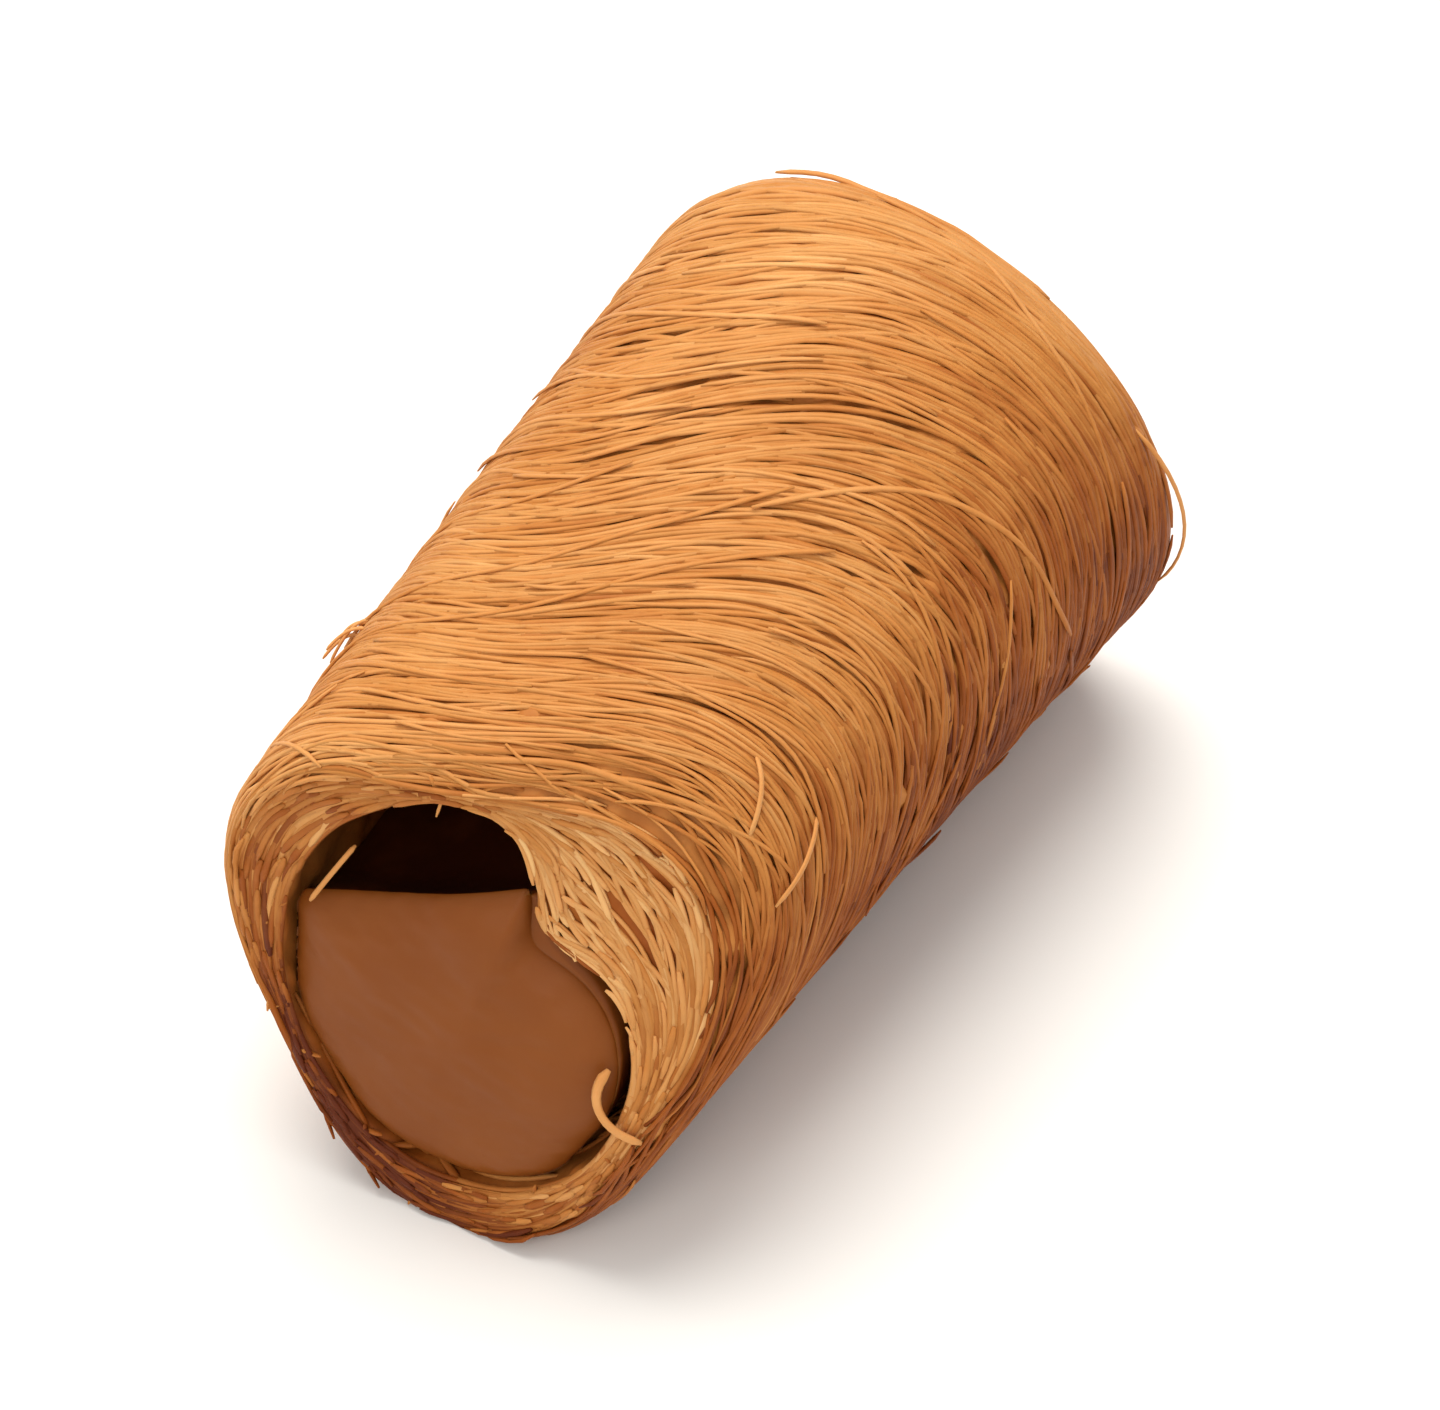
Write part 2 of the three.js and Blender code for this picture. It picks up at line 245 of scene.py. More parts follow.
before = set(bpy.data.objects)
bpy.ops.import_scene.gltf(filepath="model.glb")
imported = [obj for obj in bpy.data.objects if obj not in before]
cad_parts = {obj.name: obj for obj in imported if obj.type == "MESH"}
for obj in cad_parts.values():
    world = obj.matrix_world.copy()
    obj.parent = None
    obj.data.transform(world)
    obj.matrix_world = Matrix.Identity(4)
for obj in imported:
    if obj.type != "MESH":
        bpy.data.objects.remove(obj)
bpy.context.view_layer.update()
filling_low, filling_high = (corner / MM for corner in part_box("cream_filling"))
AXIS = np.array([
    filling_low.x - (BORE_CENTRE_X - BORE_HALF_WIDTH + FILLING_GAP),
    filling_high.y - (ROLL_LENGTH / 2 + FILLING_DOME - FILLING_RECESS),
    filling_low.z - (BORE_CENTRE_Z - BORE_HALF_HEIGHT + FILLING_GAP),
])


def patch(turn, middle):
    """1 at the middle of a patch, and less to either side of it."""
    return np.maximum(0, np.cos(turn - middle)) ** 2


def front_cut_y(x, z, opened_back):
    """The front cut leans back, and its lip has opened further back on one side of the top."""
    opened = patch(np.arctan2(x, z), LIP_OPENED_AT) * np.hypot(x, z) / MEAN_RADIUS
    return -ROLL_LENGTH / 2 + z * math.tan(FRONT_CUT_TILT) + opened_back * opened


def between_cuts_y(x, z, along):
    return front_cut_y(x, z, LIP_OPENED_BACK) * (1 - along) + ROLL_LENGTH / 2 * along


def taper(along):
    """What the radius gains along the roll."""
    return FRONT_RADIUS * (1 - along) + BACK_RADIUS * along - MEAN_RADIUS


def roll_radius(turn, along):
    """The roll narrows towards its front, where it has soft corners at either side of its top and below."""
    corners = -FRONT_CORNERS * np.cos(3 * turn) * (1 - along)
    squeeze = np.sin(2 * (turn + along)) + np.sin(3 * (turn - along)) / 2
    return MEAN_RADIUS + taper(along) + corners + OUT_OF_ROUND * squeeze


def bore_section(turn, inset):
    x = BORE_CENTRE_X + (BORE_HALF_WIDTH - inset) * np.sin(turn)
    z = BORE_CENTRE_Z + (BORE_HALF_HEIGHT - inset) * np.cos(turn)
    return x, z


def bore_wall(turn, along, inset):
    """The bore's wall, which is thicker beside the hollow near the front."""
    near = np.maximum(0, 1 - along * ROLL_LENGTH / WALL_SWELL_REACH)
    return bore_section(turn, inset + WALL_SWELL * near ** 2 * patch(turn, WALL_SWELL_AT) ** 3)


def outer_point(turn, along, height):
    """A point over the outside. Windings lie along the cuts at the ends, and lean between them.

    The roll's axis moves aside and up towards the wide back.
    """
    from_end = np.minimum(along, 1 - along) * ROLL_LENGTH
    lip = LIP_ROUNDING * (1 + patch(turn, LIP_OPENED_AT))
    rounding = lip * np.clip(1 - from_end / (2 * lip), 0, 1) ** 2
    radius = roll_radius(turn, along) + height - rounding
    x = taper(along) + radius * np.sin(turn)
    z = (BACK_RADIUS - MEAN_RADIUS) * along + radius * np.cos(turn)
    lean = WINDING_LEAN * np.sin(turn) * np.sin(math.pi * along)
    return np.stack([x, between_cuts_y(x, z, along) + lean, z], axis=-1)


def pressed(height):
    """Rolling the finger presses its windings level: none stands far above the ceiling."""
    return CEILING - CEILING_SOFTNESS * np.logaddexp(0, (CEILING - height) / CEILING_SOFTNESS)


def comb_waves():
    """The waves that windings run in, as (how many round the roll, slant, phase, size)."""
    rng = np.random.default_rng(COMB_SEED)
    waves = []
    for count in COMB_COUNTS:
        slant = rng.uniform(-COMB_SLANT, COMB_SLANT)
        phase = rng.uniform(0, FULL_TURN)
        waves.append((count, slant, phase, COMBED * rng.normal() / count))
    return waves


COMB_WAVES = comb_waves()


def place_outside(p, q, height):
    """A point over the outside, p millimetres round from the top and q along.

    Away from the cuts it is shifted along the roll, so that neighbouring threads run in waves side by side.
    """
    turn = p / MEAN_RADIUS
    shift = sum(size * np.sin(count * turn + slant * q + phase) for count, slant, phase, size in COMB_WAVES)
    along = q / ROLL_LENGTH + shift / ROLL_LENGTH * np.sin(math.pi * np.clip(q / ROLL_LENGTH, 0, 1))
    return outer_point(turn, along, pressed(height - OUTER_DEPTH))


def bore_point(turn, along, height):
    """A point in the bore, with its height measured inwards from the wall."""
    x, z = bore_wall(turn, along, height)
    return np.stack([x, between_cuts_y(x, z, along), z], axis=-1)


def place_in_bore(p, q, height):
    """A point in the bore, p millimetres round from the top and q along."""
    return bore_point(p / BORE_HALF_HEIGHT, q / ROLL_LENGTH, height - BORE_DEPTH)


def place_on_front(p, q, height):
    """A point on the front cut, where p is x and q is z."""
    y = front_cut_y(p, q, LIP_OPENED_BACK) - pressed(height - FACE_DEPTH)
    return np.stack([p, y, q], axis=-1)


def place_on_back(p, q, height):
    """A point on the back cut, where p is x and q is z."""
    y = np.full_like(p, ROLL_LENGTH / 2) + pressed(height - FACE_DEPTH)
    return np.stack([p, y, q], axis=-1)


class Blanket:
    """A surface on which threads are laid one after another, and the height of what lies there."""

    def __init__(self, low, high, place):
        self.low = np.array(low, float)
        self.shape = tuple(int(n) for n in np.ceil((np.array(high) - self.low) / CELL))
        self.height = np.zeros(self.shape)
        self.place = place

    def cells(self, p, q):
        """The cells at p, q. A way round that runs past its end starts again."""
        column = np.floor((p - self.low[0]) / CELL).astype(int) % self.shape[0]
        row = np.floor((q - self.low[1]) / CELL).astype(int)
        return column, np.clip(row, 0, self.shape[1] - 1)

    def lay(self, p, q, width, press):
        """Lays a thread along p, q over what is there, and returns the heights of its centre line."""
        side_p, side_q = sideways(p, q)
        offsets = (-FOOTPRINT * width, 0, FOOTPRINT * width)
        under = np.max([self.height[self.cells(p + side_p * w, q + side_q * w)] for w in offsets], axis=0)
        thickness = FLATNESS * width
        level = bridged(under) * (1 - LEVELLING) + self.height.mean() * LEVELLING
        centre = level + thickness * (0.5 - press)
        self.cover(p, q, centre, width)
        return centre

    def cover(self, p, q, centre, width):
        """Raises the heights along a thread to its rounded top."""
        reach = np.concatenate([[0], np.cumsum(np.hypot(np.diff(p), np.diff(q)))])
        fine = np.arange(0, reach[-1], CELL)
        if len(fine) < 2:
            return
        fine_p = np.interp(fine, reach, p)
        fine_q = np.interp(fine, reach, q)
        fine_centre = np.interp(fine, reach, centre)
        side_p, side_q = sideways(fine_p, fine_q)
        for offset in np.arange(-width / 2 + CELL / 2, width / 2, CELL):
            rise = FLATNESS * width / 2 * math.sqrt(1 - (2 * offset / width) ** 2)
            at = self.cells(fine_p + side_p * offset, fine_q + side_q * offset)
            np.maximum.at(self.height, at, fine_centre + rise)


def sideways(p, q):
    """The unit direction across a path at each of its points."""
    run_p = np.gradient(p)
    run_q = np.gradient(q)
    length = np.maximum(np.hypot(run_p, run_q), TINY)
    return -run_q / length, run_p / length


def bridged(under):
    """A thread is stiff: it rests on the high places and spans the low ones between them."""
    padded = np.pad(under, 1, mode="edge")
    high = np.max([padded[:-2], padded[1:-1], padded[2:]], axis=0)
    padded = np.pad(high, len(STIFFNESS) // 2, mode="edge")
    return sum(weight * padded[k:k + len(under)] for k, weight in enumerate(STIFFNESS))


def unit(vectors):
    return vectors / np.maximum(np.linalg.norm(vectors, axis=-1, keepdims=True), TINY)


class Threads:
    """Threads as flattened tubes, which become one mesh."""

    def __init__(self):
        self.points = []
        self.faces = []
        self.tones = []
        self.count = 0

    def add(self, line, outward, width, tone):
        """Adds a flattened tube along a line of points, closed at both ends."""
        count = len(line)
        along = unit(np.gradient(line, axis=0))
        side = unit(np.cross(along, outward))
        up = np.cross(side, along)
        half = np.full(count, width / 2)
        half[[0, -1]] *= END_TAPER
        turns = np.arange(THREAD_SIDES) / THREAD_SIDES * FULL_TURN
        across = np.cos(turns)[None, :, None] * side[:, None, :]
        over = FLATNESS * np.sin(turns)[None, :, None] * up[:, None, :]
        tube = line[:, None, :] + half[:, None, None] * (across + over)
        corner = np.arange(THREAD_SIDES)
        following = (corner + 1) % THREAD_SIDES
        ring = self.count + THREAD_SIDES * np.arange(count - 1)[:, None]
        quads = np.stack(
            [ring + corner, ring + THREAD_SIDES + corner, ring + THREAD_SIDES + following, ring + following],
            axis=-1,
        )
        self.points.append(tube.reshape(-1, 3))
        self.faces.extend(quads.reshape(-1, 4).tolist())
        self.faces.append((self.count + corner).tolist())
        self.faces.append((self.count + THREAD_SIDES * (count - 1) + corner[::-1]).tolist())
        self.tones.append(np.repeat(np.broadcast_to(tone, count), THREAD_SIDES))
        self.count += count * THREAD_SIDES

    def finished(self, name):
        return finished_piece(name, np.concatenate(self.points), self.faces, np.concatenate(self.tones))


def finished_piece(name, points, faces, tones):
    """A smooth mesh object in the row's frame, pressed flat where its weight rests on the surface."""
    placed = points + AXIS
    placed[:, 2] = SETTLING * np.logaddexp(0, placed[:, 2] / SETTLING)
    mesh = bpy.data.meshes.new(name)
    mesh.from_pydata((placed * MM).tolist(), [], faces)
    mesh.polygons.foreach_set("use_smooth", np.ones(len(mesh.polygons), bool))
    attribute = mesh.attributes.new("tone", "FLOAT", "POINT")
    attribute.data.foreach_set("value", np.asarray(tones, np.float32))
    piece = bpy.data.objects.new(name, mesh)
    bpy.context.scene.collection.objects.link(piece)
    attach(piece, "root")
    return piece


def wander(rng, reach, amount):
    """A slow sideways drift along a thread."""
    drift = np.zeros_like(reach)
    for wave in DRIFT_WAVES:
        strength = amount * wave / DRIFT_WAVES[0] * rng.normal()
        drift += strength * np.sin(reach / wave * FULL_TURN + rng.uniform(0, FULL_TURN))
    return drift


def painted_flank_shade(turn):
    """Painted light and shade: the roll is palest on the lit side of its top and darker towards its shaded
    flanks.
    """
    return FLANK_PAINTED_SHADE * (np.cos(turn - BEST_LIT_AT) - 1) / 2


def face_light_and_shade(turn):
    """Painted light and shade on a cut face: paler on the opened lip, where light falls, and darker at its
    foot, where shade falls.
    """
    return LIP_PAINTED_LIGHT * patch(turn, LIP_OPENED_AT) - FOOT_PAINTED_SHADE * patch(turn, FOOT_SHADE_AT)


def runs(inside):
    """The stretches of True that are long enough for a thread, as slices."""
    edges = np.flatnonzero(np.diff(np.concatenate([[0], inside.astype(int), [0]])))
    return [slice(a, b) for a, b in zip(edges[::2], edges[1::2]) if b - a > SHORTEST_RUN]


def lay_thread(threads, blanket, p, q, width, press, tone, lift=0.0):
    """Lays one thread on a blanket. Its ends lift off by the given height, or dip where that is 0."""
    height = blanket.lay(p, q, width, press)
    share = np.linspace(-1, 1, len(p))
    line = blanket.place(p, q, height)
    outward = unit(blanket.place(p, q, height + OUTWARD_STEP) - line)
    lifted = lift * np.maximum(0, np.abs(share) - LIFTED_FROM) / (1 - LIFTED_FROM)
    raised = lifted - (END_DIP if lift == 0 else 0) * share ** END_DIP_POWER
    threads.add(line + raised[:, None] * outward, outward, width, tone)


def lay_windings(blanket, seed, count, width, length, slant, press, tone, fray, lift=0.0):
    """Threads wound round the roll, cut off where they pass a cut face. A few stand out of it by the fray."""
    rng = np.random.default_rng(seed)
    threads = Threads()
    for index in range(count):
        own_width = rng.uniform(*width)
        reach = np.arange(0, rng.uniform(*length), THREAD_STEP)
        own_slant = rng.normal() * slant
        p = AROUND * (index * EVEN_ROUND + seed / LAYER_SHIFT % 1) + reach
        start = (ROLL_LENGTH + 2 * OVERRUN) * (index * EVEN_ALONG % 1) - OVERRUN
        q = start + own_slant * (reach - reach.mean()) + wander(rng, reach, WINDING_DRIFT)
        low = -fray * rng.random() ** 3
        high = ROLL_LENGTH + fray * rng.random() ** 3
        own_tone = tone + WINDING_TONE_SPREAD * rng.normal()
        own_lift = lift * rng.random()
        for run in runs((q > low) & (q < high)):
            # Painted shade: each winding is darker towards the flanks
            tones = own_tone + painted_flank_shade(p[run] / MEAN_RADIUS)
            lay_thread(threads, blanket, p[run], q[run], own_width, press, tones, own_lift)
    return threads


def in_face(along, turn, share):
    """A place in the cut face at along 0 or 1: share 0 is near the outside and 1 at the bore."""
    outer = outer_point(turn, along, -OUTER_MARGIN)
    bore_x, bore_z = bore_wall(turn, along, -BORE_MARGIN)
    return outer[..., 0] * (1 - share) + bore_x * share, outer[..., 2] * (1 - share) + bore_z * share


def lay_cut_layers(blanket, along, seed, count, width, turn_length, press, tone):
    """Threads in a cut face, which lie along the layers round the bore."""
    rng = np.random.default_rng(seed)
    threads = Threads()
    for index in range(count):
        own_width = rng.uniform(*width)
        length = rng.uniform(*turn_length)
        turn = FULL_TURN * (index * EVEN_ROUND % 1) + np.arange(0, length, FACE_THREAD_STEP / MEAN_RADIUS)
        reach = (turn - turn[0]) * MEAN_RADIUS
        slanted = FACE_SLANT * rng.normal() * (turn - turn.mean())
        share = index * EVEN_ALONG % 1 + slanted + SHARE_PER_DRIFT * wander(rng, reach, FACE_DRIFT)
        own_tone = tone + FACE_TONE_SPREAD * rng.normal()
        own_lift = FACE_LIFT * rng.random() ** 2
        p, q = in_face(along, turn, share)
        for run in runs((share > 0) & (share < 1)):
            # Painted light on the lip and painted shade at the foot of the cut face
            tones = own_tone + face_light_and_shade(turn[run])
            lay_thread(threads, blanket, p[run], q[run], own_width, press, tones, own_lift)
    return threads


def lay_bore_lining(blanket, seed, count, width, length, press, tone):
    """Threads on the bore's wall, from its top down the side where the lip has opened."""
    rng = np.random.default_rng(seed)
    threads = Threads()
    for _ in range(count):
        own_width = rng.uniform(*width)
        reach = np.arange(0, rng.uniform(*length), THREAD_STEP)
        middle = BORE_HALF_HEIGHT * rng.uniform(-LINING_REACH, LINING_REACH)
        p = middle + reach - reach.mean() + LINING_MIDDLE * BORE_HALF_HEIGHT
        start = rng.uniform(0, ROLL_LENGTH)
        slanted = LINING_SLANT * rng.normal() * (reach - reach.mean())
        q = start + slanted + wander(rng, reach, LINING_DRIFT)
        own_tone = tone + LINING_TONE_SPREAD * rng.normal()
        for run in runs((q > LINING_MARGIN) & (q < ROLL_LENGTH - LINING_MARGIN)):
            lay_thread(threads, blanket, p[run], q[run], own_width, press, own_tone)
    return threads


def cut_stubs(threads, blanket, along, seed, count, width, length, tone):
    """Short cut ends that stand out of a cut face and curl off in all directions."""
    rng = np.random.default_rng(seed)
    for _ in range(count):
        turn = rng.uniform(0, FULL_TURN)
        share = rng.uniform(STUB_MARGIN, 1 - STUB_MARGIN)
        p, q = in_face(along, np.array([turn]), share)
        base = blanket.height[blanket.cells(p, q)][0] - STUB_ROOT
        rise = np.linspace(0, rng.uniform(*length), STUB_POINTS)
        heading = rng.uniform(0, FULL_TURN)
        curl = rng.uniform(*STUB_CURL) * rise ** STUB_CURL_POWER
        height = base + STUB_RISE * rise
        line = blanket.place(p + math.cos(heading) * curl, q + math.sin(heading) * curl, height)
        facing = heading + STUB_SIDE_TURN
        outward = np.array([math.cos(facing), STUB_SIDE_LEAN, math.sin(facing)])
        threads.add(line, outward, rng.uniform(*width), tone + STUB_TONE_SPREAD * rng.normal())


def curve(places):
    """A smooth curve from the first place to the last, drawn towards those between them."""
    share = np.linspace(0, 1, CURVE_POINTS)[:, None]
    degree = len(places) - 1
    weights = [math.comb(degree, k) * share ** k * (1 - share) ** (degree - k) for k in range(degree + 1)]
    return sum(weight * np.array(place) for weight, place in zip(weights, places)).T


def add_face_strand(threads, places, width):
    """A single strand over the front cut."""
    x, z, height = curve(places)
    line = np.stack([x, front_cut_y(x, z, LIP_OPENED_BACK) - height, z], axis=-1)
    threads.add(line, np.array([0, -1, 0]), width, PALE_TONE)


def add_loose_strand(threads, places):
    """A single strand that stands off the outside."""
    degrees, along, height = curve(places)
    turn = np.radians(degrees)
    outward = np.stack([np.sin(turn), np.zeros_like(turn), np.cos(turn)], axis=-1)
    threads.add(outer_point(turn, along / ROLL_LENGTH, height), outward, LOOSE_WIDTH, PALE_TONE)


def add_tuft(threads):
    """A few short ends that stand off one flank together."""
    rng = np.random.default_rng(TUFT_SEED)
    degrees, along = TUFT_AT
    for _ in range(TUFT_ENDS):
        root = degrees + rng.uniform(-TUFT_DEGREES, TUFT_DEGREES)
        start = along + rng.uniform(-TUFT_SPREAD, TUFT_SPREAD)
        tip = (root - rng.uniform(*TIP_TURNED), start - rng.uniform(*TIP_FORWARD), rng.uniform(*TIP_HEIGHT))
        add_loose_strand(threads, ((root, start, 0.0), (root - TUFT_DEGREES, start, TUFT_RISE), tip))


def lumps(points, seed, wave):
    """Smooth irregular lumps of about one wavelength, mostly between -1 and 1."""
    rng = np.random.default_rng(seed)
    total = np.zeros(points.shape[:-1])
    for _ in range(LUMP_WAVES):
        direction = unit(rng.normal(size=3)) * rng.uniform(*LUMP_WAVE_SPREAD) * FULL_TURN / wave
        total += np.sin(points @ direction + rng.uniform(0, FULL_TURN))
    return total / math.sqrt(LUMP_WAVES)


def closed_surface(name, rings, tones, closes_on_itself):
    """A mesh through rings of points. It closes on itself, or is capped at either end."""
    count = rings.shape[1]
    faces = []
    corner = np.arange(count)
    following = (corner + 1) % count
    for ring in range(len(rings) if closes_on_itself else len(rings) - 1):
        here = ring * count
        there = (ring + 1) % len(rings) * count
        quads = np.stack([here + corner, here + following, there + following, there + corner], axis=-1)
        faces.extend(quads.tolist())
    if not closes_on_itself:
        faces.append(corner[::-1].tolist())
        faces.append(((len(rings) - 1) * count + corner).tolist())
    return finished_piece(name, rings.reshape(-1, 3), faces, tones.ravel())


def rings_between(first, last, count):
    """Rings at even steps between two others."""
    shares = np.linspace(0, 1, count + 2)[1:-1, None, None]
    return first * (1 - shares) + last * shares


def pastry_core():
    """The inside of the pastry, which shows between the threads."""
    turn = np.linspace(0, FULL_TURN, CORE_POINTS_AROUND, endpoint=False)
    end = FACE_DEPTH / ROLL_LENGTH
    outer_places = np.linspace(end, 1 - end, CORE_OUTER_RINGS)
    bore_places = np.linspace(1 - end, end, CORE_BORE_RINGS)
    outer_rings = np.array([outer_point(turn, along, -OUTER_DEPTH) for along in outer_places])
    bore_rings = np.array([bore_point(turn, along, -BORE_DEPTH) for along in bore_places])
    back_face = rings_between(outer_rings[-1], bore_rings[0], CORE_FACE_RINGS)
    front_face = rings_between(bore_rings[-1], outer_rings[0], CORE_FACE_RINGS)
    rings = np.concatenate([outer_rings, back_face, bore_rings, front_face])
    lumpy = CORE_LUMP * lumps(rings, CORE_SEED, CORE_LUMP_WAVE)
    rings = rings + lumpy[..., None] * unit(rings * [1, 0, 1])
    tones = np.full(rings.shape[:2], CORE_TONE)
    # The core in the bore and under the cut faces takes the darker lining tone, painted shade
    tones[len(outer_rings):] = SHADED_LINING_TONE
    return closed_surface("pastry_core", rings, tones, True)


def soft_lower(first, second, softness):
    """The lower of two heights, with a soft corner where they cross."""
    near = np.maximum(softness - np.abs(first - second), 0) / softness
    return np.minimum(first, second) - near ** 2 * softness / 4


def eased(value, low, high):
    """0 below the low value, 1 above the high one, and a smooth step between them."""
    share = np.clip((value - low) / (high - low), 0, 1)
    return share ** 2 * (3 - 2 * share)


def filling_section(turn, y):
    """The filling's outline: its top slopes to one side and has sunk behind the cuts."""
    x, z = bore_wall(turn, y / ROLL_LENGTH + 0.5, GROOVE_WIDTH * patch(turn, GROOVE_AT))
    sag = FILLING_SAG * eased(ROLL_LENGTH / 2 - abs(y), 0, FILLING_SAG_REACH)
    level = FILLING_TOP_Z + FILLING_TOP_SLOPE * (x - BORE_CENTRE_X) - sag
    wave = FILLING_TOP_WAVE * np.sin((x + y) / FILLING_TOP_WAVE_LENGTH)
    return x, soft_lower(z, level + wave, FILLING_TOP_SOFTNESS)


def cream_filling():
    """The cream, which fills the lower part of the bore and swells a little at the cuts."""
    turn = np.linspace(0, FULL_TURN, CREAM_POINTS_AROUND, endpoint=False)
    half = ROLL_LENGTH / 2
    centre_z = (FILLING_TOP_Z + BORE_CENTRE_Z - BORE_HALF_HEIGHT) / 2
    ring_shares = np.sin(np.linspace(CREAM_INNER_RING, 1, CREAM_FACE_RINGS) * math.pi / 2)

    def face_ring(share, at_front):
        x, z = filling_section(turn, -half if at_front else half)
        edge = np.sqrt(1 - np.clip((share - FILLING_EDGE_FROM) / (1 - FILLING_EDGE_FROM), 0, 1) ** 2)
        swell = FILLING_DOME * (1 - share ** 2) - FILLING_RECESS - FILLING_EDGE * (1 - edge)
        face_x = BORE_CENTRE_X + (x - BORE_CENTRE_X) * share
        face_z = centre_z + (z - centre_z) * share
        front_y = front_cut_y(face_x, face_z, FILLING_OPENED_BACK) - swell
        back_y = np.full_like(face_x, half + swell)
        return np.stack([face_x, front_y if at_front else back_y, face_z], axis=-1)

    def side_ring(along):
        x, z = filling_section(turn, half * (2 * along - 1))
        front_y = front_cut_y(x, z, FILLING_OPENED_BACK)
        return np.stack([x, front_y * (1 - along) + half * along, z], axis=-1)

    front_rings = [face_ring(share, True) for share in ring_shares]
    side_places = np.linspace(CREAM_SIDE_MARGIN, 1 - CREAM_SIDE_MARGIN, CREAM_SIDE_RINGS)
    side_rings = [side_ring(along) for along in side_places]
    back_rings = [face_ring(share, False) for share in ring_shares[::-1]]
    rings = np.array(front_rings + side_rings + back_rings)
    middle = np.array([BORE_CENTRE_X, 0, centre_z])
    outward = unit((rings - middle) * CREAM_LUMP_PUSH)
    lumpy = sum(height * lumps(rings, seed, wave) for seed, wave, height in CREAM_LUMPS)
    rings = rings + lumpy[..., None] * outward
    depth = np.minimum(side_places, 1 - side_places) * ROLL_LENGTH
    at_faces = np.zeros(len(ring_shares))
    shade = np.concatenate([at_faces, eased(depth, SHADE_FROM, SHADE_FULL_AT), at_faces])
    # Painted shade: the filling darkens with depth behind the cuts
    tones = -FILLING_PAINTED_SHADE * np.repeat(shade[:, None], len(turn), axis=1)
    return closed_surface("caramel_cream", rings, tones, False)


def shader(material):
    material.use_nodes = True
    return material.node_tree.nodes, material.node_tree.links


def tone_and_place(nodes):
    """The tone laid down in a mesh, and coordinates in metres."""
    tone = nodes.new("ShaderNodeAttribute")
    tone.attribute_name = "tone"
    return tone.outputs["Fac"], nodes.new("ShaderNodeTexCoord").outputs["Object"]


def noise_at(nodes, links, place, scale, detail):
    noise = nodes.new("ShaderNodeTexNoise")
    noise.inputs["Scale"].default_value = scale
    noise.inputs["Detail"].default_value = detail
    links.new(place, noise.inputs["Vector"])
    return noise.outputs["Fac"]


def scaled(nodes, links, value, low, high):
    """Maps a 0 to 1 value to the range from low to high, without clamping."""
    mapped = nodes.new("ShaderNodeMapRange")
    mapped.clamp = False
    mapped.inputs["To Min"].default_value = low
    mapped.inputs["To Max"].default_value = high
    links.new(value, mapped.inputs["Value"])
    return mapped.outputs["Result"]


def added(nodes, links, first, second):
    total = nodes.new("ShaderNodeMath")
    total.operation = "ADD"
    links.new(first, total.inputs[0])
    links.new(second, total.inputs[1])
    return total.outputs["Value"]


def ramp(nodes, links, value, stops):
    """A colour ramp through (place, colour) stops."""
    made = nodes.new("ShaderNodeValToRGB")
    elements = made.color_ramp.elements
    for element, (place, colour) in zip(elements, (stops[0], stops[-1])):
        element.position = place
        element.color = (*colour, 1)
    for place, colour in stops[1:-1]:
        elements.new(place).color = (*colour, 1)
    links.new(value, made.inputs["Fac"])
    return made.outputs["Color"]


def bumped(nodes, links, height, distance, strength):
    bump = nodes.new("ShaderNodeBump")
    bump.inputs["Distance"].default_value = distance
    bump.inputs["Strength"].default_value = strength
    links.new(height, bump.inputs["Height"])
    return bump.outputs["Normal"]


def pastry_material():
    """Baked threads: browner and paler patches, syrup in places, and each thread its own tone, which also
    carries painted light and shade.
    """
    material = bpy.data.materials.new("baked_threads")
    nodes, links = shader(material)
    principled = nodes["Principled BSDF"]
    tone, place = tone_and_place(nodes)
    patches = scaled(nodes, links, noise_at(nodes, links, place, scale=90, detail=2), low=-0.3, high=0.3)
    flecks = scaled(nodes, links, noise_at(nodes, links, place, scale=800, detail=2), low=-0.08, high=0.08)
    value = added(nodes, links, added(nodes, links, tone, patches), flecks)
    links.new(ramp(nodes, links, value, PASTRY_COLOURS), principled.inputs["Base Color"])
    rough = scaled(nodes, links, noise_at(nodes, links, place, scale=260, detail=3), low=0.45, high=0.75)
    links.new(rough, principled.inputs["Roughness"])
    grain = noise_at(nodes, links, place, scale=3200, detail=3)
    links.new(bumped(nodes, links, grain, distance=0.00005, strength=0.4), principled.inputs["Normal"])
    principled.inputs["Specular IOR Level"].default_value = 0.2
    principled.inputs["Subsurface Weight"].default_value = 0.12
    principled.inputs["Subsurface Radius"].default_value = (1.0, 0.6, 0.35)
    principled.inputs["Subsurface Scale"].default_value = 0.0005
    return material


